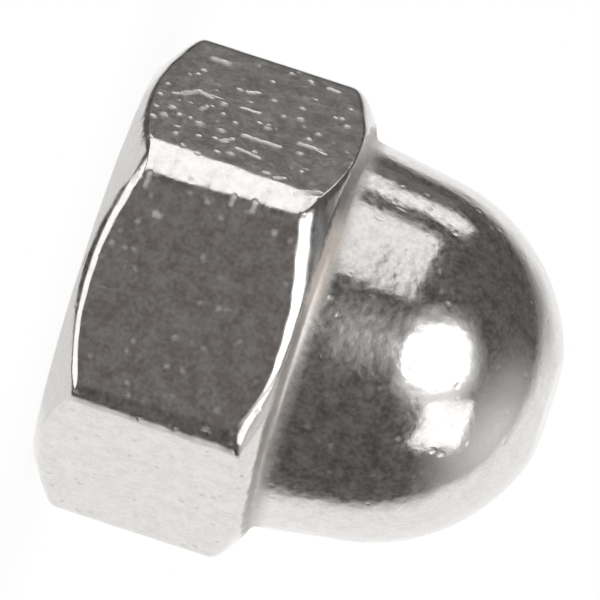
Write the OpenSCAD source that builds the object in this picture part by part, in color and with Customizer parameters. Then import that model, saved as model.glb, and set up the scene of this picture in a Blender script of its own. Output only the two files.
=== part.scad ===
// Low-crown cap nut, also called an acorn nut: a hexagon with a closed, domed end.
// It is cold formed as one piece, tapped from the open end and tumbled bright.
// +Z runs along the thread axis towards the crown, and the bearing face lies at Z = 0.
// Two of the six flats face -Y and +Y, so two corners point along -X and +X.

/* [Hexagon] */
// Width across the flats
across_flats = 9.525; // [9.3:0.005:10.2]
// Radius that rounds the six long corners of the hexagon
corner_radius = 0.475; // [0.2:0.005:0.8]
// Height at which the upper chamfer meets the middle of each flat
flat_height = 4.88; // [4:0.02:5.2]
// Diameter of the round bearing face left inside the lower chamfer
bearing_d = 8.9; // [7.5:0.05:9.2]
// Slope of both hexagon chamfers from the bearing plane, in degrees
chamfer_angle = 34; // [25:1:38]

/* [Crown] */
// Overall height, from the bearing face to the flat on the crown
overall_height = 10.5; // [9.8:0.05:10.6]
// Radius of the spherical crown
crown_radius = 4.21; // [4.1:0.01:4.3]
// Height of the centre of the crown sphere above the bearing face
crown_centre_height = 6.44; // [6.35:0.01:6.7]
// Draft of the skirt between hexagon and crown, in degrees
skirt_draft = 9; // [5:0.5:12]
// Radius of the hollow fillet where the skirt leaves the hexagon
neck_fillet = 0.7; // [0.4:0.05:0.8]

/* [Tapped hole] */
// Diameter of the drilled hole, which is the minor diameter of the thread
drill_d = 4.04; // [3.6:0.01:4.4]
// Depth of the full-width hole from the bearing face
drill_depth = 7.4; // [6:0.1:8]
// Angle of the drill's point, in degrees
drill_point_angle = 118; // [100:1:140]
// Diameter of the countersink at the mouth
countersink_d = 5.1; // [4.6:0.05:6]
// Full angle of the countersink, in degrees
countersink_angle = 90; // [80:1:120]

/* [Hidden] */
$fn = 96;

// How far each cutting shape runs past the face that it cuts
overrun = 1;
// How far each round edge is let into the faces that it joins, so that they cross and don't only touch
blend_bite = 0.0002;

// Hexagon: each corner arc touches two flats, and a chord joins the two points where it touches
hex_sides = 6;
half_corner_angle = 180 / hex_sides;
flat_radius = across_flats / 2;
sharp_corner_r = flat_radius / cos(half_corner_angle);
corner_centre_r = (flat_radius - corner_radius) / cos(half_corner_angle);
corner_chord_r = corner_centre_r + corner_radius * cos(half_corner_angle);

// Chamfers: two cones that start inside the flats and end outside the corners
bearing_r = bearing_d / 2;
turned_r = sharp_corner_r + overrun;
lower_chamfer_top = (turned_r - bearing_r) * tan(chamfer_angle);
upper_chamfer_foot = flat_height - (turned_r - flat_radius) * tan(chamfer_angle);

// Skirt: a cone that touches the crown sphere along a circle, carried up to the overall height
touch_r = crown_radius * cos(skirt_draft);
touch_height = crown_centre_height + crown_radius * sin(skirt_draft);
skirt_top_r = touch_r - (overall_height - touch_height) * tan(skirt_draft);

// Neck: the corner where the upper chamfer line would meet the skirt line, and the fillet that softens it
neck_corner_r = (touch_r + (touch_height - flat_height - flat_radius * tan(chamfer_angle)) * tan(skirt_draft))
    / (1 - tan(chamfer_angle) * tan(skirt_draft));
neck_corner_height = flat_height + (flat_radius - neck_corner_r) * tan(chamfer_angle);
neck_turn = 90 - skirt_draft - chamfer_angle;
neck_setback = neck_fillet * tan(neck_turn / 2);
neck_foot = [neck_corner_r + neck_setback * cos(chamfer_angle),
    neck_corner_height - neck_setback * sin(chamfer_angle)];
neck_head = [neck_corner_r - neck_setback * sin(skirt_draft),
    neck_corner_height + neck_setback * cos(skirt_draft)];
neck_centre = neck_foot + neck_fillet * [sin(chamfer_angle), cos(chamfer_angle)];

// Hole: the cone of the drill's point and the countersink
drill_r = drill_d / 2;
drill_tip_height = drill_depth + drill_r / tan(drill_point_angle / 2);
countersink_r = countersink_d / 2;
countersink_depth = (countersink_r - drill_r) / tan(countersink_angle / 2);
countersink_run_r = countersink_r + overrun * tan(countersink_angle / 2);

// Outline of the hexagon bar: sharp hexagon, less the corners that lie past both the chord and the corner arc
module hexagon_outline() {
    intersection() {
        circle(sharp_corner_r, $fn = hex_sides);
        union() {
            rotate(half_corner_angle)
                circle(corner_chord_r / cos(half_corner_angle), $fn = hex_sides);
            for (corner = [0 : hex_sides - 1])
                rotate(2 * half_corner_angle * corner)
                    translate([corner_centre_r, 0])
                        circle(corner_radius + blend_bite);
        }
    }
}

// Half section of the formed outside, without the flats: chamfers, neck, skirt and crown
module formed_section() {
    difference() {
        intersection() {
            polygon([
                [0, 0],
                [bearing_r, 0],
                [turned_r, lower_chamfer_top],
                [turned_r, upper_chamfer_foot],
                neck_foot,
                neck_head,
                [skirt_top_r, overall_height],
                [0, overall_height]
            ]);
            union() {
                translate([-overrun, -overrun])
                    square([turned_r + 2 * overrun, touch_height + overrun]);
                translate([0, crown_centre_height])
                    circle(crown_radius + blend_bite);
            }
        }
        translate(neck_centre)
            circle(neck_fillet + blend_bite);
    }
}

// Half section of the hole: countersunk mouth, full-width hole and drill point
module hole_section() {
    polygon([
        [0, -overrun],
        [countersink_run_r, -overrun],
        [drill_r, countersink_depth],
        [drill_r, drill_depth],
        [0, drill_tip_height]
    ]);
}

module cap_nut() {
    color("silver")
        difference() {
            intersection() {
                translate([0, 0, -overrun])
                    linear_extrude(overall_height + 2 * overrun)
                        hexagon_outline();
                rotate_extrude()
                    formed_section();
            }
            rotate_extrude()
                hole_section();
        }
}

cap_nut();
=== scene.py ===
"""Dresses a low-crown cap nut: formed skin, tapped hole, tumbled bright finish, plain studio and camera."""
import logging
import math
from collections.abc import Callable
from dataclasses import dataclass, field
from enum import Enum
from functools import partial

import bmesh
import bpy
import numpy as np
from bpy.types import Material, Mesh, Node, NodeTree, Object, World
from bpy.types import NodeSocket as Socket
from mathutils import Matrix, Vector


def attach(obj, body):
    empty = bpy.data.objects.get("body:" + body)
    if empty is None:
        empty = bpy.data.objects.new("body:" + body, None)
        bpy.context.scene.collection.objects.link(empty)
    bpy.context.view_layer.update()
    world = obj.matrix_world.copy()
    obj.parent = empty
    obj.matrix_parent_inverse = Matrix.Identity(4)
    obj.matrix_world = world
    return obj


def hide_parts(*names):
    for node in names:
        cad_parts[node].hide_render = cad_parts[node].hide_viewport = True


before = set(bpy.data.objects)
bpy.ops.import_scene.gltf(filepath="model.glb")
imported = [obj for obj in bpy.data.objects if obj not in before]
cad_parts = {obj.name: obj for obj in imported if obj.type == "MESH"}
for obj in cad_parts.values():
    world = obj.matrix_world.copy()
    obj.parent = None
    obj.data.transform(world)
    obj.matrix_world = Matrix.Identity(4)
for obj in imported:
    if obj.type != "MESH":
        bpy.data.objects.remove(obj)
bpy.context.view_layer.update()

MM = 0.001
MICRON = 1e-6
INCH_IN_MM = 25.4
FULL_TURN = 2.0 * math.pi
RIGHT_ANGLE = 90.0
INWARDS, OUTWARDS = (-1.0, 0.0), (1.0, 0.0)
SOFT_DETAIL, FINE_DETAIL = 1.0, 2.0
WHITE = (1.0, 1.0, 1.0, 1.0)

log = logging.getLogger("cap_nut")

Angles = np.ndarray
Pair = tuple[float, float]
Four = tuple[float, float, float, float]
Line = tuple[np.ndarray, np.ndarray]
Ring = Callable[[Angles], Line]
Colour = tuple[float, float, float]
Source = Socket | float | tuple | Vector


class Lamp(Enum):
    """Shapes that a studio lamp's face can have."""

    ROUND = "ELLIPSE"
    SQUARE = "RECTANGLE"


class Side(Enum):
    """The two skins of the nut, as material slots."""

    OUTSIDE = 0
    HOLE = 1


def sine(degrees: float) -> float:
    """Sine of an angle in degrees."""
    return math.sin(math.radians(degrees))


def cosine(degrees: float) -> float:
    """Cosine of an angle in degrees."""
    return math.cos(math.radians(degrees))


def tangent(degrees: float) -> float:
    """Tangent of an angle in degrees."""
    return math.tan(math.radians(degrees))


def soft_least(first: np.ndarray, second: np.ndarray, reach: np.ndarray) -> np.ndarray:
    """Lesser of two values, rounded into each other where they differ by less than the reach."""
    near = np.maximum(reach - np.abs(first - second), 0.0)
    return np.minimum(first, second) - near ** 2 / (4.0 * reach)


def ease(value: np.ndarray, low: float, high: float) -> np.ndarray:
    """Smooth step from 0 at the low value to 1 at the high one."""
    share = np.clip((value - low) / (high - low), 0.0, 1.0)
    return share ** 2 * (3.0 - 2.0 * share)


def deselect_all() -> None:
    """Leaves object mode with nothing selected, so that an operator acts only on what comes next."""
    if bpy.context.mode != "OBJECT":
        bpy.ops.object.mode_set(mode="OBJECT")
    bpy.ops.object.select_all(action="DESELECT")


def facing(azimuth: float, elevation: float) -> Vector:
    """Unit vector from the nut outwards, by degrees from -Y towards +X and degrees above the floor."""
    flat = cosine(elevation)
    return Vector((sine(azimuth) * flat, -cosine(azimuth) * flat, sine(elevation)))


@dataclass
class Sheet:
    """A node tree that is being drawn up."""

    tree: NodeTree

    @classmethod
    def start(cls, owner: Material | World) -> "Sheet":
        """Clears the nodes of a material or a world, to draw them afresh."""
        owner.use_nodes = True
        owner.node_tree.nodes.clear()
        return cls(owner.node_tree)

    @classmethod
    def group(cls, name: str, depths: tuple[str, ...], results: tuple[str, ...]) -> "Sheet":
        """Starts a node group with the vector input Place.

        Args:
            name: The group's name.
            depths: Names of its number inputs.
            results: Names of its number outputs.

        Returns:
            The group's sheet.
        """
        tree = bpy.data.node_groups.new(name, "ShaderNodeTree")
        tree.interface.new_socket("Place", in_out="INPUT", socket_type="NodeSocketVector")
        for way, names in (("INPUT", depths), ("OUTPUT", results)):
            for socket in names:
                tree.interface.new_socket(socket, in_out=way, socket_type="NodeSocketFloat")
        return cls(tree)

    def add(self, kind: str, *sources: Source, **settings: object) -> Node:
        """Adds a node.

        Args:
            kind: The node's type.
            *sources: What its first inputs get, in their order.
            **settings: Properties to set on it.

        Returns:
            The new node.
        """
        node = self.tree.nodes.new(kind)
        for name, value in settings.items():
            setattr(node, name, value)
        for socket, source in zip(node.inputs, sources):
            self.feed(socket, source)
        return node

    def feed(self, target: Socket, source: Source) -> None:
        """Links a socket to another, or sets its plain value."""
        if isinstance(source, Socket):
            self.tree.links.new(source, target)
        else:
            target.default_value = source

    def wire(self, node: Node, sources: dict[str, Source]) -> None:
        """Feeds a node's inputs by their names."""
        for name, source in sources.items():
            self.feed(node.inputs[name], source)

    def math(self, operation: str, *values: Source) -> Socket:
        """Adds a sum of numbers and returns its result."""
        return self.add("ShaderNodeMath", *values, operation=operation).outputs["Value"]

    def vector(self, operation: str, *vectors: Source) -> Socket:
        """Adds a sum of vectors and returns the vector that it gives."""
        return self.add("ShaderNodeVectorMath", *vectors, operation=operation).outputs["Vector"]

    def measure(self, operation: str, *vectors: Source) -> Socket:
        """Adds a sum of vectors and returns the number that it gives."""
        return self.add("ShaderNodeVectorMath", *vectors, operation=operation).outputs["Value"]

    def total(self, first: float, *shares: tuple[Socket, float]) -> Socket:
        """Adds shares of masks to a first value.

        Args:
            first: The value without any mask.
            *shares: Each mask, with what it adds where it is 1.

        Returns:
            The socket with the result.
        """
        total: Source = first
        for mask, share in shares:
            total = self.math("MULTIPLY_ADD", mask, share, total)
        return total

    def step(self, value: Socket, low: float, high: float, first: float = 0.0, last: float = 1.0) -> Socket:
        """Smooth step from a first output to a last one, while the input goes from low to high."""
        return self.add("ShaderNodeMapRange", value, low, high, first, last,
                        interpolation_type="SMOOTHSTEP").outputs["Result"]

    def window(self, value: Socket, low: float, full: float, fading: float, high: float) -> Socket:
        """Mask that rises from one value to the next, stays at 1 and falls between the last two."""
        fall = self.step(value, fading, high, 1.0, 0.0)
        return self.math("MULTIPLY", self.step(value, low, full), fall)

    def noise(self, place: Socket, cell: float, detail: float) -> tuple[Socket, Socket]:
        """Cloudy noise with cells of a given size, as a number and as a colour, both from 0 to 1."""
        node = self.add("ShaderNodeTexNoise")
        self.wire(node, {"Vector": place, "Scale": 1.0 / cell, "Detail": detail})
        return tuple(node.outputs)

    def stray(self, place: Socket, cell: float, reach: float) -> Socket:
        """Lets a position stray within a reach, so that what is drawn by it gets ragged edges."""
        colour = self.noise(place, cell, SOFT_DETAIL)[1]
        return self.vector("MULTIPLY_ADD", colour, (reach, reach, reach), place)

    def mix(self, factor: Socket, first: Source, second: Source) -> Socket:
        """Mixes two colours by a factor and returns the colour."""
        node = self.add("ShaderNodeMix", factor, data_type="RGBA")
        ends = (socket for socket in node.inputs if socket.type == "RGBA")
        for socket, source in zip(ends, (first, second)):
            self.feed(socket, source)
        return next(socket for socket in node.outputs if socket.type == "RGBA")


@dataclass
class HexBar:
    """The hexagon's outline, with two corners that wear has rounded to a taper, each by its own radii."""

    across_flats: float = 9.525 * MM
    corner_radius: float = 0.475 * MM
    # Each worn corner's number, and its radius at the foot and at the head
    worn_corners: tuple[tuple[int, float, float], ...] = (
        (4, 1.52 * MM, 0.90 * MM), (5, 0.58 * MM, 0.95 * MM))
    worn_bow: float = 0.7
    worn_waver: float = 0.045
    waver_lengths: Pair = (1.1 * MM, 0.43 * MM)
    flat_height: float = 4.88 * MM
    sides: int = 6
    flat_columns: int = 22
    corner_columns: int = 22
    corner_reach: float = 8.5

    @property
    def flat_radius(self) -> float:
        """Distance from the axis to a flat."""
        return self.across_flats / 2.0

    def columns(self) -> Angles:
        """Angles of the skin's columns, crowded round the corners.

        Returns:
            Angles in radians over one full turn, from the first corner, on +X.
        """
        pitch = 360.0 / self.sides
        corner = np.linspace(-self.corner_reach, self.corner_reach, self.corner_columns + 1)
        flat = np.linspace(self.corner_reach, pitch - self.corner_reach, self.flat_columns + 1)[1:-1]
        sector = np.concatenate([corner, flat])
        return np.radians(np.concatenate([sector + pitch * side for side in range(self.sides)]))

    def radius(self, theta: Angles, height: np.ndarray) -> np.ndarray:
        """Distance from the axis to the outline.

        Args:
            theta: Angles in radians.
            height: Height of each point above the bearing face.

        Returns:
            Radius at each angle.
        """
        pitch = FULL_TURN / self.sides
        nearest = np.round(theta / pitch)
        off = np.abs(theta - nearest * pitch)
        taper = np.clip(height / self.flat_height, 0.0, 1.0) ** self.worn_bow
        waver = sum(np.sin(height * FULL_TURN / length) for length in self.waver_lengths)
        ragged = 1.0 + self.worn_waver * waver
        rounding = np.full_like(ragged, self.corner_radius)
        for corner, foot, head in self.worn_corners:
            worn = (foot + (head - foot) * taper) * ragged
            rounding = np.where(nearest % self.sides == corner, worn, rounding)
        inner = self.flat_radius - rounding
        centre = inner / math.cos(pitch / 2.0)
        reach = pitch / 2.0 - np.arctan(inner * math.tan(pitch / 2.0) / self.flat_radius)
        arc = centre * np.cos(off) + np.sqrt(np.maximum(rounding ** 2 - (centre * np.sin(off)) ** 2, 0.0))
        return np.where(off < reach, arc, self.flat_radius / np.cos(pitch / 2.0 - off))


def circle(radius: float, height: float) -> Ring:
    """A plain round ring."""
    return lambda theta: (np.full_like(theta, radius), np.full_like(theta, height))


@dataclass
class Bend:
    """Rings that round a circular edge between two straight stretches of the section."""

    radius: float
    height: float
    arrive: Pair
    leave: Pair
    round: float
    segments: int = 5

    @property
    def turn(self) -> float:
        """Angle between the two stretches, in radians."""
        return math.acos(self.arrive[0] * self.leave[0] + self.arrive[1] * self.leave[1])

    @property
    def setback(self) -> float:
        """How far the rounding reaches along each stretch."""
        return self.round * math.tan(self.turn / 2.0)

    def rings(self) -> list[Ring]:
        """Rings along the arc, from the first stretch to the second."""
        rings = []
        for share in np.linspace(0.0, 1.0, self.segments + 1):
            start, end = (1.0 - share) ** 2, share ** 2
            middle = 2.0 * math.cos(self.turn / 2.0) * share * (1.0 - share)
            shift = [self.setback * (end * out - start * into) / (start + middle + end)
                     for into, out in zip(self.arrive, self.leave)]
            rings.append(circle(self.radius + shift[0], self.height + shift[1]))
        return rings


@dataclass
class TappedHole:
    """The blind hole: countersunk mouth, right-hand thread with a run-out, plain end and drill point."""

    drill_radius: float = 2.02 * MM
    thread_radius: float = 2.413 * MM
    pitch: float = INCH_IN_MM / 32.0 * MM
    crest_share: float = 0.125
    flank_angle: float = 30.0
    thread_depth: float = 6.3 * MM
    run_out: float = 0.9 * MM
    drill_depth: float = 7.4 * MM
    drill_point_angle: float = 118.0
    countersink_radius: float = 2.55 * MM
    countersink_angle: float = 90.0
    mouth_round: float = 0.06 * MM
    row_height: float = 0.054 * MM
    point_rows: int = 4

    def wall(self, theta: Angles, height: float) -> np.ndarray:
        """Radius of the hole's wall, with the thread groove and the countersink.

        Args:
            theta: Angles in radians.
            height: Height above the bearing face.

        Returns:
            Radius at each angle.
        """
        turn = (height / self.pitch - theta / FULL_TURN) % 1.0
        from_root = np.abs(turn - 0.5) * self.pitch
        slope = (from_root - self.crest_share * self.pitch / 2.0) / tangent(self.flank_angle)
        groove = np.clip(self.thread_radius - self.drill_radius - np.maximum(slope, 0.0), 0.0, None)
        fade = np.clip((self.thread_depth + self.run_out - height) / self.run_out, 0.0, 1.0)
        mouth = self.countersink_radius - height * tangent(self.countersink_angle / 2.0)
        return np.maximum(self.drill_radius + groove * fade, mouth)

    def mouth(self) -> Bend:
        """The rounded edge of the countersink, from the bearing face inwards."""
        lean = self.countersink_angle / 2.0
        leave = (-sine(lean), cosine(lean))
        return Bend(self.countersink_radius, 0.0, INWARDS, leave, self.mouth_round)

    def row(self, height: float) -> Ring:
        """Ring of the wall at one height."""
        return lambda theta: (self.wall(theta, height), np.full_like(theta, height))

    def rings(self) -> list[Ring]:
        """Rings of the hole, from its mouth to the drill point."""
        tapped = np.arange(2.0 * self.mouth_round, self.thread_depth + self.run_out, self.row_height)
        rings = [*self.mouth().rings()[1:], *map(self.row, (*tapped, self.drill_depth))]
        point = self.tip_height - self.drill_depth
        for share in np.linspace(0.0, 1.0, self.point_rows + 2)[1:-1]:
            rings.append(circle(self.drill_radius * (1.0 - share), self.drill_depth + point * share))
        return rings

    @property
    def tip_height(self) -> float:
        """Height of the drill point's tip."""
        return self.drill_depth + self.drill_radius / tangent(self.drill_point_angle / 2.0)


@dataclass
class CapNut:
    """The nut: hexagon, chamfers, neck, skirt and crown as one closed skin, with the tapped hole."""

    bar: HexBar = field(default_factory=HexBar)
    hole: TappedHole = field(default_factory=TappedHole)
    bearing_radius: float = 4.45 * MM
    chamfer_angle: float = 34.0
    overall_height: float = 10.5 * MM
    crown_radius: float = 4.21 * MM
    crown_centre: float = 6.44 * MM
    skirt_draft: float = 9.0
    neck_fillet: float = 0.45 * MM
    lower_blend: Pair = (0.18 * MM, 0.36 * MM)
    upper_blend: Pair = (0.11 * MM, 0.62 * MM)
    # Angle of each worn spot, how far it reaches before and after that, and its share of the most wear
    worn_spots: tuple[Four, ...] = (
        (0.0, 13.0, 13.0, 0.32), (60.0, 13.0, 13.0, 0.32), (120.0, 13.0, 13.0, 0.32),
        (180.0, 13.0, 13.0, 0.62), (246.0, 6.5, 37.0, 1.0), (298.0, 13.0, 4.0, 0.6),
        (360.0, 13.0, 13.0, 0.32))
    blend_waver: float = 0.05
    # Waves in a full turn, and where each starts
    blend_waves: tuple[Pair, ...] = ((17.0, 2.1), (41.0, 4.0))
    edge_lift: float = 0.08 * MM
    neck_drop: float = 0.05 * MM
    # Where the neck starts to drop, has dropped, starts to rise again and is back at its height
    drop_heights: Four = (4.92 * MM, 5.12 * MM, 5.20 * MM, 5.90 * MM)
    rim_round: float = 0.3 * MM
    tip_round: float = 1.4 * MM
    bearing_shares: tuple[float, ...] = (0.02, 0.5, 0.98)
    chamfer_least_share: float = 1.0 / 3.0
    knot_passes: int = 4
    span_rows: tuple[int, ...] = (4, 10, 24, 13, 11, 9)
    crown_rows: int = 46
    tip_rows: int = 5
    ripple_depth: float = 0.012 * MM
    ripple_length: float = 0.7 * MM
    name: str = "cap_nut_skin"
    node: str = "cap_nut"
    slot: str = "bright_metal"

    @property
    def slope(self) -> float:
        """Rise of the two chamfers per unit of radius."""
        return tangent(self.chamfer_angle)

    def touch(self) -> Pair:
        """Radius and height at which the skirt touches the crown sphere."""
        return (self.crown_radius * cosine(self.skirt_draft),
                self.crown_centre + self.crown_radius * sine(self.skirt_draft))

    def neck_corner(self) -> Pair:
        """Radius and height at which the upper chamfer's line would meet the skirt's line."""
        radius, height = self.touch()
        draft = tangent(self.skirt_draft)
        level = height - self.bar.flat_height - self.bar.flat_radius * self.slope
        corner = (radius + level * draft) / (1.0 - self.slope * draft)
        return corner, self.bar.flat_height + (self.bar.flat_radius - corner) * self.slope

    def neck_heights(self) -> Pair:
        """Heights at which the neck fillet starts and ends."""
        height = self.neck_corner()[1]
        turn = RIGHT_ANGLE - self.skirt_draft - self.chamfer_angle
        back = self.neck_fillet * tangent(turn / 2.0)
        return height - back * sine(self.chamfer_angle), height + back * cosine(self.skirt_draft)

    def turned(self, height: np.ndarray) -> np.ndarray:
        """Radius of the turned section: upper chamfer, neck fillet and skirt."""
        foot, head = self.neck_heights()
        corner_radius, corner_height = self.neck_corner()
        chamfer = self.bar.flat_radius + (self.bar.flat_height - height) / self.slope
        foot_radius = self.bar.flat_radius + (self.bar.flat_height - foot) / self.slope
        centre_radius = foot_radius + self.neck_fillet * sine(self.chamfer_angle)
        rise = height - foot - self.neck_fillet * cosine(self.chamfer_angle)
        neck = centre_radius - np.sqrt(np.maximum(self.neck_fillet ** 2 - rise ** 2, 0.0))
        skirt = corner_radius - (height - corner_height) * tangent(self.skirt_draft)
        return np.where(height < foot, chamfer, np.where(height < head, neck, skirt))

    def skin(self, theta: Angles, height: np.ndarray) -> np.ndarray:
        """Radius of the outside, where bar, chamfers and neck are rounded into each other by tumbling.

        Args:
            theta: Angles in radians.
            height: Height of each point above the bearing face.

        Returns:
            Radius of each point.
        """
        lower = self.bearing_radius + height / self.slope
        shaped = soft_least(self.bar.radius(theta, height), lower, self.blend(theta, self.lower_blend))
        dropped = ease(height, *self.drop_heights[:2])
        regained = ease(height, *self.drop_heights[2:])
        level = height - self.edge_lift * (1.0 - dropped) + self.neck_drop * (dropped - regained)
        return soft_least(shaped, self.turned(level), self.blend(theta, self.upper_blend))

    def wear(self, theta: Angles) -> np.ndarray:
        """Share of wear round the nut, the most by one corner and less by the others."""
        share = np.zeros_like(theta)
        for middle, before, after, most in self.worn_spots:
            off = np.degrees(theta) - middle
            share = np.maximum(share, most * np.exp(-(off / np.where(off < 0.0, before, after)) ** 2))
        return share

    def blend(self, theta: Angles, ends: Pair) -> np.ndarray:
        """Width over which an edge is rounded, from least on plain flats to most by a worn corner."""
        waver = sum(np.sin(theta * waves + shift) for waves, shift in self.blend_waves)
        return (ends[0] + (ends[1] - ends[0]) * self.wear(theta)) * (1.0 + self.blend_waver * waver)

    def knots(self, theta: Angles) -> list[np.ndarray]:
        """Heights between which the outside's rows are spread, at each angle.

        Args:
            theta: Angles in radians.

        Returns:
            Heights of the rim, of both sides of the lower and upper edges, of the neck's end and of the
            crown's foot.
        """
        lower = upper = np.full_like(theta, self.bar.flat_height / 2.0)
        for _ in range(self.knot_passes):
            lower = (self.bar.radius(theta, lower) - self.bearing_radius) * self.slope
            outside = self.bar.radius(theta, upper) - self.bar.flat_radius
            upper = self.bar.flat_height - outside * self.slope
        rim = np.full_like(theta, self.rim().setback * sine(self.chamfer_angle))
        low, high = (self.blend(theta, ends) * self.slope for ends in (self.lower_blend, self.upper_blend))
        below = np.maximum(lower - low, rim + (lower - rim) * self.chamfer_least_share)
        head = np.full_like(theta, self.neck_heights()[1])
        above = np.minimum(upper + high, (upper + head) / 2.0)
        return [rim, below, lower + low, upper - high, above, head, np.full_like(theta, self.touch()[1])]

    def rim(self) -> Bend:
        """The rounded rim between the bearing face and the lower chamfer."""
        leave = (cosine(self.chamfer_angle), sine(self.chamfer_angle))
        return Bend(self.bearing_radius, 0.0, OUTWARDS, leave, self.rim_round)

    def row(self, span: int, share: float, theta: Angles) -> Line:
        """One row of the outside.

        Args:
            span: Number of the knot below it.
            share: Its share of the way to the next knot.
            theta: Angles in radians.

        Returns:
            Its radius and height at each angle.
        """
        start, end = self.knots(theta)[span:span + 2]
        height = start + (end - start) * share
        return self.skin(theta, height), height

    def body_rings(self) -> list[Ring]:
        """Rings of the bearing face, the hexagon, the neck and the skirt."""
        rim = self.rim()
        start = self.hole.countersink_radius + self.hole.mouth().setback
        end = self.bearing_radius - rim.setback
        rings = [circle(start + (end - start) * share, 0.0) for share in self.bearing_shares] + rim.rings()
        for span, rows in enumerate(self.span_rows):
            rings += [partial(self.row, span, share) for share in np.linspace(0.0, 1.0, rows + 1)[1:]]
        return rings

    def crown_rings(self) -> list[Ring]:
        """Rings of the crown and of the flat on its tip."""
        ball = self.crown_radius
        lean = math.degrees(math.asin((self.overall_height - self.crown_centre) / ball))
        arrive = (-sine(lean), cosine(lean))
        tip = Bend(ball * cosine(lean), self.overall_height, arrive, INWARDS, self.tip_round)
        last = lean - math.degrees(tip.setback / ball)
        crown = [circle(ball * cosine(rise), self.crown_centre + ball * sine(rise))
                 for rise in np.linspace(self.skirt_draft, last, self.crown_rows + 1)[1:-1]]
        flat = [circle((tip.radius - tip.setback) * share, self.overall_height)
                for share in np.linspace(1.0, 0.0, self.tip_rows + 1)[1:-1]]
        return [*crown, *tip.rings(), *flat]

    def build(self) -> Object:
        """Models the skin as rings that are extruded one from the next and closed at both ends.

        Returns:
            The nut's object, at the origin.
        """
        deselect_all()
        columns = self.bar.columns()
        start = self.hole.countersink_radius + self.hole.mouth().setback
        bpy.ops.mesh.primitive_circle_add(vertices=len(columns), radius=start, fill_type="NOTHING")
        nut = bpy.context.object
        nut.name = nut.data.name = self.name
        bpy.ops.object.mode_set(mode="EDIT")
        self._crowd_corners(nut.data, columns)
        bpy.ops.mesh.select_all(action="SELECT")
        for ring in (*self.body_rings(), *self.crown_rings()):
            self._extrude(nut.data, ring)
        self._close(nut.data, self.overall_height)
        bpy.ops.mesh.select_all(action="DESELECT")
        bpy.ops.mesh.select_non_manifold()
        for ring in self.hole.rings():
            self._extrude(nut.data, ring)
        self._close(nut.data, self.hole.tip_height)
        bpy.ops.mesh.select_all(action="SELECT")
        bpy.ops.mesh.normals_make_consistent(inside=False)
        bpy.ops.object.mode_set(mode="OBJECT")
        self._ripple(nut)
        bpy.ops.object.shade_smooth()
        return nut

    def dress(self, nut: Object, outside: Material, hole: Material) -> None:
        """Gives the skin its two materials, and puts it in the frame.

        Args:
            nut: The nut's object.
            outside: Material of all that is formed and tumbled.
            hole: Material of the drilled and tapped wall.
        """
        nut.data.materials.append(outside)
        nut.data.materials.append(hole)
        bpy.context.view_layer.objects.active = nut
        bpy.ops.object.mode_set(mode="EDIT")
        bpy.ops.mesh.select_mode(type="FACE")
        form = bmesh.from_edit_mesh(nut.data)
        for face in form.faces:
            middle = face.calc_center_median()
            reach = math.hypot(middle.x, middle.y)
            deep = self.hole.mouth_round < middle.z < self.hole.tip_height
            face.select_set(deep and reach < self.hole.countersink_radius)
        bmesh.update_edit_mesh(nut.data)
        nut.active_material_index = Side.HOLE.value
        bpy.ops.object.material_slot_assign()
        bpy.ops.object.mode_set(mode="OBJECT")
        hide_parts(self.node)
        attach(nut, "root")

    @staticmethod
    def _crowd_corners(mesh: Mesh, columns: Angles) -> None:
        """Slides an even ring's points along it, to the angles of the skin's columns."""
        form = bmesh.from_edit_mesh(mesh)
        order = sorted(form.verts, key=lambda vert: math.atan2(vert.co.y, vert.co.x) % FULL_TURN)
        for vert, angle in zip(order, columns):
            reach = math.hypot(vert.co.x, vert.co.y)
            vert.co = (reach * math.cos(angle), reach * math.sin(angle), 0.0)
        bmesh.update_edit_mesh(mesh)

    @staticmethod
    def _extrude(mesh: Mesh, ring: Ring) -> None:
        """Extrudes the selected ring and sets the new one to its radius and height at each angle."""
        bpy.ops.mesh.extrude_region()
        form = bmesh.from_edit_mesh(mesh)
        verts = [vert for vert in form.verts if vert.select]
        theta = np.array([math.atan2(vert.co.y, vert.co.x) for vert in verts]) % FULL_TURN
        radius, height = ring(theta)
        for vert, angle, reach, rise in zip(verts, theta, radius, height):
            vert.co = (reach * math.cos(angle), reach * math.sin(angle), rise)
        bmesh.update_edit_mesh(mesh, loop_triangles=False, destructive=False)

    @staticmethod
    def _close(mesh: Mesh, height: float) -> None:
        """Closes the selected ring to one point on the axis."""
        bpy.ops.mesh.extrude_region()
        bpy.ops.mesh.merge(type="CENTER")
        form = bmesh.from_edit_mesh(mesh)
        for vert in form.verts:
            if vert.select:
                vert.co = (0.0, 0.0, height)
        bmesh.update_edit_mesh(mesh)

    def _ripple(self, nut: Object) -> None:
        """Lets the skin down a few thousandths here and there, as tumbling leaves it."""
        clouds = bpy.data.textures.new("tumbled_ripple", type="CLOUDS")
        clouds.noise_scale = self.ripple_length
        clouds.noise_depth = 1
        ripple = nut.modifiers.new("ripple", "DISPLACE")
        ripple.texture = clouds
        ripple.texture_coords = "LOCAL"
        ripple.strength = self.ripple_depth
        ripple.mid_level = 1.0
        bpy.ops.object.modifier_apply(modifier=ripple.name)


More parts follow.
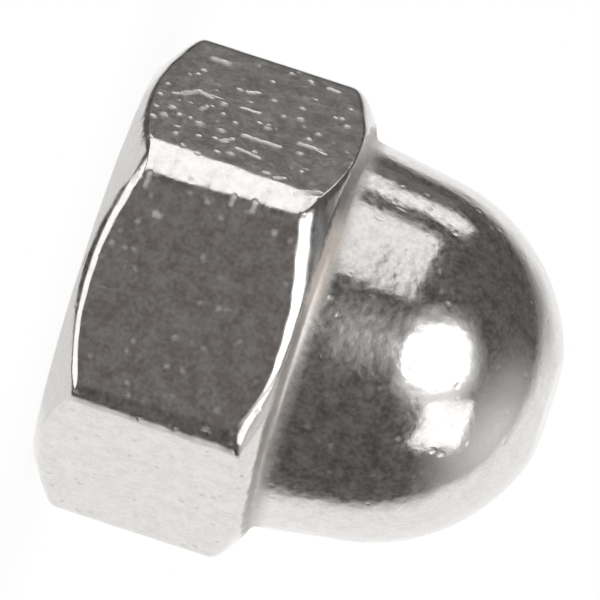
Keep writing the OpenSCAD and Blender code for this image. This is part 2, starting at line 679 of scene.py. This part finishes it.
@dataclass(frozen=True)
class MarkGroup:
    """Node group of what tumbling leaves: pits, short scratches along the axis, ripple and grain."""

    pit_cell: float = 0.31 * MM
    pit_radius_share: float = 0.36
    pit_chance: float = 0.30
    scratch_cell: float = 0.36 * MM
    scratch_stretch: float = 6.0
    scratch_radius_share: float = 0.15
    scratch_chance: float = 0.25
    stray_cell: float = 0.16 * MM
    stray: float = 0.10 * MM
    ripple_cell: float = 0.35 * MM
    grain_cell: float = 0.08 * MM
    mottle_cells: Pair = (0.11 * MM, 0.36 * MM)
    name: str = "tumble_marks"

    def build(self) -> NodeTree:
        """Makes the group.

        Returns:
            A group with the input Place and four depths in microns, and the outputs Height, in microns,
            Marks and Mottle.
        """
        depths = ("Pit Depth", "Scratch Depth", "Ripple Depth", "Grain Depth")
        sheet = Sheet.group(self.name, depths, ("Height", "Marks", "Mottle"))
        given, made = sheet.add("NodeGroupInput"), sheet.add("NodeGroupOutput")
        place = given.outputs["Place"]
        ragged = sheet.stray(place, self.stray_cell, self.stray)
        drawn = sheet.vector("MULTIPLY", ragged, (1.0, 1.0, 1.0 / self.scratch_stretch))
        pits = self._spots(sheet, ragged, self.pit_cell, self.pit_radius_share, self.pit_chance)
        scratches = self._spots(
            sheet, drawn, self.scratch_cell, self.scratch_radius_share, self.scratch_chance)
        ripple = sheet.noise(place, self.ripple_cell, SOFT_DETAIL)[0]
        grain = sheet.noise(place, self.grain_cell, FINE_DETAIL)[0]
        height: Source = 0.0
        for layer, depth in zip((pits, scratches, ripple, grain), depths):
            height = sheet.math("SUBTRACT", height, sheet.math("MULTIPLY", layer, given.outputs[depth]))
        fine, coarse = (sheet.noise(place, cell, FINE_DETAIL)[0] for cell in self.mottle_cells)
        mottle = sheet.math("MULTIPLY", sheet.math("ADD", fine, coarse), 1.0 / len(self.mottle_cells))
        marks = sheet.math("MAXIMUM", pits, scratches)
        sheet.wire(made, {"Height": height, "Marks": marks, "Mottle": mottle})
        return sheet.tree

    @staticmethod
    def _spots(sheet: Sheet, place: Socket, cell: float, radius_share: float, chance: float) -> Socket:
        """Sparse round spots, one at most in each cell.

        Args:
            sheet: Node tree to draw in.
            place: Socket with the position.
            cell: Size of a cell.
            radius_share: Radius of a spot as a share of a cell.
            chance: Share of the cells that have a spot.

        Returns:
            Socket that is 1 in the middle of a spot and 0 away from it.
        """
        cells = sheet.add("ShaderNodeTexVoronoi")
        sheet.wire(cells, {"Vector": place, "Scale": 1.0 / cell})
        draw = sheet.add("ShaderNodeSeparateColor", cells.outputs["Color"])
        spot = sheet.step(cells.outputs["Distance"], 0.0, radius_share, 1.0, 0.0)
        return sheet.math("MULTIPLY", spot, sheet.math("LESS_THAN", draw.outputs["Red"], chance))


@dataclass(frozen=True)
class StruckFlat:
    """The knocks and scratches on one flat, placed to a tenth of a millimetre.

    A scratch is given by the place across the flat and the height at both its ends, and its half width.
    A knock is given by its place, its height and its radius. All are in millimetres.
    """

    angle: float
    scratches: tuple[tuple[float, float, float, float, float], ...]
    knocks: tuple[tuple[float, float, float], ...]


UPPER_FLAT = StruckFlat(
    angle=210.0,
    scratches=(
        (0.0, 0.7, -0.1, 0.9, 0.08), (-0.1, 0.9, -0.4, 1.2, 0.12), (-0.4, 1.2, -0.3, 1.5, 0.10),
        (-1.9, 1.2, -1.9, 1.5, 0.16), (0.8, 2.5, 0.8, 3.3, 0.12), (0.4, 3.7, 0.4, 4.0, 0.12),
        (0.4, 4.0, 0.5, 4.3, 0.08), (1.4, 2.5, 1.5, 3.0, 0.10), (-0.3, 2.2, -0.3, 2.6, 0.08),
        (0.3, 1.4, 0.1, 1.5, 0.10), (1.3, 2.1, 1.1, 2.3, 0.10), (-1.0, 2.2, -1.1, 2.4, 0.10),
        (2.1, 3.5, 2.0, 3.7, 0.10), (-2.2, 3.8, -2.2, 4.0, 0.10), (2.4, 4.1, 2.1, 4.5, 0.14)),
    knocks=(
        (1.2, 0.5, 0.12), (1.0, 0.7, 0.16), (0.6, 0.8, 0.14), (0.9, 1.5, 0.18), (-0.2, 1.8, 0.14),
        (0.4, 2.2, 0.12), (0.9, 2.0, 0.14), (1.6, 1.1, 0.12), (1.4, 1.6, 0.12), (0.2, 2.9, 0.14),
        (-0.6, 3.5, 0.14), (-0.2, 4.0, 0.14), (0.8, 3.8, 0.14), (-1.0, 2.0, 0.12), (1.7, 2.4, 0.16),
        (2.0, 3.3, 0.12), (-0.9, 4.5, 0.12), (0.2, 1.9, 0.10), (0.8, 1.0, 0.10), (-0.3, 0.5, 0.10),
        (-1.3, 1.1, 0.10), (1.5, 4.0, 0.10), (-2.2, 3.4, 0.10), (1.8, 2.1, 0.10)))
FRONT_FLAT = StruckFlat(
    angle=270.0,
    scratches=(
        (-2.3, 0.6, -2.0, 0.6, 0.10), (-2.3, 0.9, -2.0, 0.9, 0.10), (-2.4, 2.8, -2.2, 2.8, 0.10),
        (-2.4, 3.3, -2.2, 3.3, 0.10)),
    knocks=((-1.5, 1.3, 0.14), (-2.1, 2.3, 0.12), (-1.9, 3.9, 0.12), (2.7, 3.8, 0.16), (2.8, 0.8, 0.14)))


@dataclass(frozen=True)
class StruckGroup:
    """Node group of the knocks and scratches on the flats."""

    flats: tuple[StruckFlat, ...] = (UPPER_FLAT, FRONT_FLAT)
    flat_reach: float = 4.6 * MM
    stray_cell: float = 0.14 * MM
    stray: float = 0.08 * MM
    name: str = "struck_marks"

    def build(self) -> NodeTree:
        """Makes the group.

        Returns:
            A group with the input Place and the output Marks, which is 1 in the middle of a mark.
        """
        sheet = Sheet.group(self.name, (), ("Marks",))
        given, made = sheet.add("NodeGroupInput"), sheet.add("NodeGroupOutput")
        place = sheet.stray(given.outputs["Place"], self.stray_cell, self.stray)
        marks: Source = 0.0
        for flat in self.flats:
            outwards = Vector((cosine(flat.angle), sine(flat.angle), 0.0))
            across = Vector((-sine(flat.angle), cosine(flat.angle), 0.0))
            out = sheet.measure("DOT_PRODUCT", place, outwards)
            here = sheet.math("GREATER_THAN", out, self.flat_reach)
            spread = sheet.vector("SUBTRACT", place, sheet.vector("PROJECT", place, outwards))
            found: Source = 0.0
            points = tuple((*knock[:2], *knock) for knock in flat.knocks)
            for from_across, from_height, to_across, to_height, half in (*flat.scratches, *points):
                start = across * from_across + Vector((0.0, 0.0, from_height))
                end = across * to_across + Vector((0.0, 0.0, to_height))
                mark = self._mark(sheet, spread, start * MM, end * MM, half * MM)
                found = sheet.math("MAXIMUM", found, mark)
            marks = sheet.math("MAXIMUM", marks, sheet.math("MULTIPLY", found, here))
        sheet.wire(made, {"Marks": marks})
        return sheet.tree

    @staticmethod
    def _mark(sheet: Sheet, place: Socket, start: Vector, end: Vector, half: float) -> Socket:
        """One straight mark with round ends, or a round one where both ends are one place.

        Args:
            sheet: The group's node tree.
            place: Socket with the position, laid into the plane of the marks.
            start: Where the mark starts.
            end: Where it ends.
            half: Half its width.

        Returns:
            Socket that is 1 along the mark's middle and 0 away from it.
        """
        off = sheet.vector("SUBTRACT", place, start)
        if start != end:
            way = end - start
            along = sheet.measure("DOT_PRODUCT", off, way / way.length_squared)
            share = sheet.add("ShaderNodeClamp", along)
            foot = sheet.add("ShaderNodeVectorMath", way, operation="SCALE")
            sheet.wire(foot, {"Scale": share.outputs["Result"]})
            off = sheet.vector("SUBTRACT", off, foot.outputs["Vector"])
        return sheet.step(sheet.measure("LENGTH", off), 0.0, half, 1.0, 0.0)


@dataclass(frozen=True)
class MetalFinish:
    """A bare or plated metal surface with tumbling marks, duller where tumbling doesn't reach.

    Depths are in microns. Four heights or reaches in a row say where a band starts, is full, starts to
    fade and ends. The neck's colour holds painted shade, darker along its crease, and a painted light
    patch.
    fade and ends.
    """

    name: str
    colour: Colour
    dull_colour: Colour
    roughness: float
    mottle_roughness: float
    pit_depth: float
    scratch_depth: float
    ripple_depth: float
    grain_depth: float
    mottle_reach: Pair = (0.28, 0.72)
    haze: float = 0.13
    mark_haze: float = 0.18
    mark_roughness: float = 0.14
    struck_roughness: float = 0.17
    struck_depth: float = 6.0
    struck_haze: float = 0.30
    # The hollow neck: its darker colour is painted shade; its roughness and haze give it a duller finish
    recess_shade_colour: Colour = (0.63, 0.60, 0.578)
    recess_roughness: float = 0.22
    recess_haze: float = 0.42
    recess_heights: Four = (4.95 * MM, 5.05 * MM, 5.12 * MM, 5.53 * MM)
    # Painted shade: a darker line along the neck's crease
    crease_shade_colour: Colour = (0.44, 0.405, 0.38)
    crease_shade_heights: Four = (4.97 * MM, 5.02 * MM, 5.07 * MM, 5.17 * MM)
    recess_reach: Four = (3.0 * MM, 3.5 * MM, 4.76 * MM, 4.9 * MM)
    recess_stray_cell: float = 0.22 * MM
    recess_stray: float = 0.10 * MM
    # Painted light: a lighter, warmer, less metallic patch on the neck's lit side, towards the front lamp
    painted_light_colour: Colour = (0.72, 0.655, 0.60)
    painted_light_haze: float = 0.33
    # Azimuth of the painted light patch's middle, its distance from the axis and its height
    painted_light_middle: tuple[float, float, float] = (-21.0, 4.35 * MM, 5.10 * MM)
    painted_light_reach: Pair = (0.7 * MM, 1.6 * MM)
    crown_foot: Pair = (4.5 * MM, 5.2 * MM)
    crown_pit_share: float = 0.65
    flat_ripple_share: float = 0.3
    crown_head: Pair = (7.6 * MM, 9.0 * MM)
    head_ripple_share: float = 0.4

    def material(self, marks: NodeTree, struck: NodeTree) -> Material:
        """Makes the material.

        Args:
            marks: The group of tumbling marks.
            struck: The group of knocks and scratches.

        Returns:
            A metal whose colour, roughness and normal follow the marks.
        """
        made = bpy.data.materials.new(self.name)
        sheet = Sheet.start(made)
        out, shader = sheet.add("ShaderNodeOutputMaterial"), sheet.add("ShaderNodeBsdfPrincipled")
        place = sheet.add("ShaderNodeTexCoord").outputs["Object"]
        rise = sheet.add("ShaderNodeSeparateXYZ", place).outputs["Z"]
        bare = sheet.step(rise, *self.crown_foot, 1.0, self.crown_pit_share)
        wavy = sheet.math("MULTIPLY", sheet.step(rise, *self.crown_foot, self.flat_ripple_share, 1.0),
                          sheet.step(rise, *self.crown_head, 1.0, self.head_ripple_share))
        wear = sheet.add("ShaderNodeGroup", node_tree=marks)
        sheet.wire(wear, {"Place": place, "Grain Depth": self.grain_depth,
                          "Pit Depth": sheet.math("MULTIPLY", bare, self.pit_depth),
                          "Scratch Depth": sheet.math("MULTIPLY", bare, self.scratch_depth),
                          "Ripple Depth": sheet.math("MULTIPLY", wavy, self.ripple_depth)})
        knock = sheet.add("ShaderNodeGroup", place, node_tree=struck).outputs["Marks"]
        level = sheet.math("MULTIPLY_ADD", knock, -self.struck_depth, wear.outputs["Height"])
        bump = sheet.add("ShaderNodeBump")
        sheet.wire(bump, {"Distance": MICRON, "Height": level})
        mottle = sheet.step(wear.outputs["Mottle"], *self.mottle_reach)
        marked = sheet.math("MULTIPLY", wear.outputs["Marks"], bare)
        recess, crease_shade, painted_light = self._neck(sheet, place)
        # Base colour: random mottle, painted shade in the hollow neck and its crease, and a painted light
        # patch on the neck's lit side
        tone: Source = (*self.colour, 1.0)
        for mask, shade in ((mottle, self.dull_colour), (recess, self.recess_shade_colour),
                            (crease_shade, self.crease_shade_colour), (painted_light, self.painted_light_colour)):
            tone = sheet.mix(mask, tone, (*shade, 1.0))
        rough = sheet.total(self.roughness, (mottle, self.mottle_roughness), (marked, self.mark_roughness),
                            (knock, self.struck_roughness), (recess, self.recess_roughness))
        clear = sheet.total(1.0, (mottle, -self.haze), (marked, -self.mark_haze),
                            (recess, -self.recess_haze), (painted_light, -self.painted_light_haze),
                            (knock, -self.struck_haze))
        sheet.wire(shader, {"Base Color": tone, "Metallic": clear, "Roughness": rough,
                            "Normal": bump.outputs["Normal"]})
        sheet.wire(out, {"Surface": shader.outputs["BSDF"]})
        return made

    def _neck(self, sheet: Sheet, place: Socket) -> tuple[Socket, Socket, Socket]:
        """Masks of what lies in the hollow neck, with ragged edges.

        Args:
            sheet: The material's node tree.
            place: Socket with the position.

        Returns:
            Sockets that are 1 in the recess, duller and with painted shade, in its crease, with painted
            shade, and in the patch of painted light.
        """
        ragged = sheet.stray(place, self.recess_stray_cell, self.recess_stray)
        rise = sheet.add("ShaderNodeSeparateXYZ", ragged).outputs["Z"]
        reach = sheet.measure("LENGTH", sheet.vector("MULTIPLY", ragged, (1.0, 1.0, 0.0)))
        hollow = sheet.window(reach, *self.recess_reach)
        # The crease band is painted shade; the recess band gives a duller finish and painted shade
        recess, crease_shade = (sheet.math("MULTIPLY", sheet.window(rise, *heights), hollow)
                          for heights in (self.recess_heights, self.crease_shade_heights))
        # The painted light patch, lighter round one place on the neck's lit side
        azimuth, out, height = self.painted_light_middle
        middle = facing(azimuth, 0.0) * out + Vector((0.0, 0.0, height))
        near = sheet.step(sheet.measure("DISTANCE", ragged, middle), *self.painted_light_reach, 1.0, 0.0)
        return recess, crease_shade, sheet.math("MULTIPLY", recess, near)


BRIGHT = MetalFinish(
    name="tumbled_bright_metal", colour=(0.79, 0.77, 0.75), dull_colour=(0.72, 0.70, 0.68), roughness=0.09,
    mottle_roughness=0.11, pit_depth=6.5, scratch_depth=4.0, ripple_depth=8.6, grain_depth=1.2)
TAPPED = MetalFinish(
    name="tapped_bare_metal", colour=(0.56, 0.54, 0.515), dull_colour=(0.36, 0.34, 0.32), roughness=0.26,
    mottle_roughness=0.2, pit_depth=3.0, scratch_depth=2.0, ripple_depth=2.0, grain_depth=2.0)


@dataclass(frozen=True)
class Panel:
    """An upright field of the studio as the metal mirrors it, by its place round the nut."""

    azimuth: float
    half_width: float
    low: float
    high: float
    level: float
    soft: float = 2.5


@dataclass(frozen=True)
class Glow:
    """A round field of the studio as the metal mirrors it."""

    azimuth: float
    elevation: float
    spread: float
    soft: float
    level: float


@dataclass(frozen=True)
class Softbox:
    """A studio lamp with a wide face that looks at the nut."""

    name: str
    shape: Lamp
    azimuth: float
    elevation: float
    length: float
    width: float
    roll: float
    radiance: float
    distance: float = 0.35

    def build(self, aim: Vector) -> Object:
        """Hangs the lamp.

        Args:
            aim: The point that it looks at.

        Returns:
            The lamp's object.
        """
        deselect_all()
        way = facing(self.azimuth, self.elevation)
        side = facing(self.azimuth + RIGHT_ANGLE, 0.0)
        long = side.cross(way) * -cosine(self.roll) + side * sine(self.roll)
        bpy.ops.object.light_add(type="AREA")
        lamp = bpy.context.object
        lamp.name = lamp.data.name = self.name
        turned = Matrix((long, way.cross(long), way)).transposed().to_4x4()
        lamp.matrix_world = Matrix.Translation(aim + way * self.distance) @ turned
        lamp.data.shape = self.shape.value
        lamp.data.size, lamp.data.size_y = (2.0 * self.distance * tangent(angle / 2.0)
                                            for angle in (self.length, self.width))
        face = lamp.data.size * lamp.data.size_y * (math.pi / 4.0 if self.shape is Lamp.ROUND else 1.0)
        lamp.data.energy = self.radiance * math.pi * face
        lamp.visible_camera = False
        return lamp


@dataclass
class Studio:
    """Plain white floor and backdrop, two overhead lamps and the dim room that bright metal mirrors."""

    aim: Vector = field(default_factory=lambda: Vector((0.0, 0.0, 5.25 * MM)))
    lamps: tuple[Softbox, ...] = (
        Softbox("front_lamp", Lamp.ROUND, -12.5, 41.0, 44.0, 36.0, -22.0, 1.7),
        Softbox("second_lamp", Lamp.SQUARE, 47.5, 54.0, 31.0, 26.0, 22.0, 1.3),
    )
    room: Colour = (0.073, 0.066, 0.062)
    glows: tuple[Glow, ...] = (
        Glow(162.0, 11.6, 53.0, 8.0, 1.0),
        Glow(124.7, 68.2, 19.2, 34.0, 0.93),
        Glow(-9.5, 43.0, 23.0, 16.0, 1.3),
    )
    flag: Glow = Glow(-138.4, 36.9, 19.5, 11.9, 0.58)
    panels: tuple[Panel, ...] = (
        Panel(18.0, 9.0, 36.0, 64.0, 0.85, 3.0),
        Panel(-65.0, 24.5, -12.0, 15.0, 1.06),
        Panel(-109.5, 7.0, 4.0, 18.5, 1.18, 1.5),
        Panel(-73.0, 39.5, -25.0, 1.0, 1.3, 1.5),
        Panel(-121.0, 10.0, -25.0, 8.0, 0.145, 3.0),
        Panel(131.0, 16.0, -40.0, 22.0, 0.99, 3.0),
        Panel(0.0, 60.0, -75.0, -33.0, 1.35, 5.0),
        Panel(150.0, 60.0, -60.0, 0.0, 0.85, 8.0),
        Panel(180.0, 95.0, -77.0, -50.0, 0.85, 4.0),
    )
    wall: Panel = Panel(4.0, 28.0, -26.0, 10.0, 0.76, 8.0)
    floor_size: float = 2.0
    shade_reach: Pair = (5.0 * MM, 14.0 * MM)
    shade_share: float = 0.05

    def build(self) -> None:
        """Sets up the world, the lamps and the floor."""
        self._world()
        for lamp in self.lamps:
            lamp.build(self.aim)
        self._floor()

    def _world(self) -> None:
        """Draws the studio into the world: white to the camera, fields of light in a dim room to metal."""
        world = bpy.data.worlds.new("studio")
        bpy.context.scene.world = world
        sheet = Sheet.start(world)
        out = sheet.add("ShaderNodeOutputWorld")
        place = sheet.add("ShaderNodeTexCoord").outputs["Generated"]
        level = sheet.add("ShaderNodeSeparateXYZ", place).outputs["Z"]
        rise = sheet.math("DEGREES", sheet.math("ARCSINE", level))
        light: Source = 0.0
        for glow in self.glows:
            light = sheet.math("MAXIMUM", light, self._glow(sheet, glow, place))
        open_share = sheet.math("SUBTRACT", 1.0, self._glow(sheet, self.flag, place))
        light = sheet.math("MULTIPLY", light, open_share)
        for panel in self.panels:
            light = sheet.math("MAXIMUM", light, self._panel(sheet, panel, place, rise))
        wall = sheet.math("ADD", self._panel(sheet, self.wall, place, rise), 1.0)
        shades = (sheet.math("MAXIMUM", light, sheet.math("MULTIPLY", wall, shade)) for shade in self.room)
        seen = sheet.add("ShaderNodeCombineColor", *shades).outputs["Color"]
        camera = sheet.add("ShaderNodeLightPath").outputs["Is Camera Ray"]
        back = sheet.add("ShaderNodeBackground", sheet.mix(camera, seen, WHITE))
        sheet.wire(out, {"Surface": back.outputs["Background"]})

    @staticmethod
    def _glow(sheet: Sheet, glow: Glow, place: Socket) -> Socket:
        """Brightness of one round field by direction."""
        near = sheet.measure("DOT_PRODUCT", place, facing(glow.azimuth, glow.elevation))
        off = sheet.math("DEGREES", sheet.math("ARCCOSINE", near))
        return sheet.step(off, glow.spread - glow.soft, glow.spread + glow.soft, glow.level, 0.0)

    @staticmethod
    def _panel(sheet: Sheet, panel: Panel, place: Socket, rise: Socket) -> Socket:
        """Brightness of one upright field by direction.

        Args:
            sheet: The world's node tree.
            panel: The field.
            place: Socket with the direction.
            rise: Socket with the direction's elevation in degrees.

        Returns:
            Socket with the field's level inside it and 0 outside.
        """
        ways = (facing(panel.azimuth + RIGHT_ANGLE, 0.0), facing(panel.azimuth, 0.0))
        aside, ahead = (sheet.measure("DOT_PRODUCT", place, way) for way in ways)
        off = sheet.math("ABSOLUTE", sheet.math("DEGREES", sheet.math("ARCTAN2", aside, ahead)))
        inner, outer = panel.half_width - panel.soft, panel.half_width + panel.soft
        inside = sheet.step(off, inner, outer, panel.level, 0.0)
        ends = (end + soft for end in (panel.low, panel.high) for soft in (-panel.soft, panel.soft))
        return sheet.math("MULTIPLY", inside, sheet.window(rise, *ends))

    def _floor(self) -> None:
        """Lays the floor, which is white to the camera and keeps the nut's soft shadow."""
        deselect_all()
        bpy.ops.mesh.primitive_plane_add(size=self.floor_size, location=(0.0, 0.0, 0.0))
        floor = bpy.context.object
        floor.name = floor.data.name = "floor"
        paint = bpy.data.materials.new("white_floor")
        sheet = Sheet.start(paint)
        out = sheet.add("ShaderNodeOutputMaterial")
        reach = sheet.measure("LENGTH", sheet.add("ShaderNodeTexCoord").outputs["Object"])
        shade = sheet.step(reach, *self.shade_reach, self.shade_share, 0.0)
        white, matt = sheet.add("ShaderNodeEmission"), sheet.add("ShaderNodeBsdfDiffuse")
        both = sheet.add("ShaderNodeMixShader", shade, white.outputs["Emission"], matt.outputs["BSDF"])
        sheet.wire(out, {"Surface": both.outputs["Shader"]})
        floor.data.materials.append(paint)
        floor.visible_glossy = False


@dataclass(frozen=True)
class StudioCamera:
    """The camera, which looks at the nut lying across the picture with its crown to the right."""

    turn: float = -1.5252
    rise: float = 3.5928
    roll: float = 17.9881
    distance: float = 0.6
    middle_height: float = 5.25 * MM
    flat_width: float = 9.525 * MM
    flat_pixels: float = 432.2327
    middle_pixel: Pair = (321.9577, 335.3081)
    picture_pixels: float = 600.0
    sensor: float = 36.0
    clip_ratio: float = 100.0

    def build(self) -> Object:
        """Places the camera and makes it the scene's own.

        Returns:
            The camera's object.
        """
        towards = facing(self.turn, self.rise)
        lift = sine(self.rise)
        along = Vector((-sine(self.turn) * lift, cosine(self.turn) * lift, cosine(self.rise)))
        across = Vector((cosine(self.turn), sine(self.turn), 0.0))
        right = along * cosine(self.roll) - across * sine(self.roll)
        up = -along * sine(self.roll) - across * cosine(self.roll)
        scale = self.flat_width / self.flat_pixels
        shift = [(pixel - self.picture_pixels / 2.0) * scale for pixel in self.middle_pixel]
        middle = Vector((0.0, 0.0, self.middle_height))
        spot = middle + towards * self.distance - right * shift[0] + up * shift[1]
        deselect_all()
        bpy.ops.object.camera_add()
        camera = bpy.context.object
        camera.name = camera.data.name = "camera"
        camera.matrix_world = Matrix.Translation(spot) @ Matrix((right, up, towards)).transposed().to_4x4()
        camera.data.sensor_width = self.sensor
        camera.data.lens = self.sensor * self.distance / (self.picture_pixels * scale)
        camera.data.clip_start = self.distance / self.clip_ratio
        camera.data.clip_end = self.distance * self.clip_ratio
        bpy.context.scene.camera = camera
        return camera


def main() -> None:
    """Builds the nut, its finish, the studio and the camera."""
    logging.basicConfig(level=logging.INFO, format="%(name)s: %(message)s")
    bpy.context.scene.view_settings.view_transform = "Standard"
    marks, struck = MarkGroup().build(), StruckGroup().build()
    nut = CapNut()
    skin = nut.build()
    nut.dress(skin, BRIGHT.material(marks, struck), TAPPED.material(marks, struck))
    log.info("%s: %d faces, %d points", skin.name, len(skin.data.polygons), len(skin.data.vertices))
    Studio().build()
    camera = StudioCamera().build()
    log.info("%s: lens %.0f mm", camera.name, camera.data.lens)


if __name__ == "__main__":
    main()
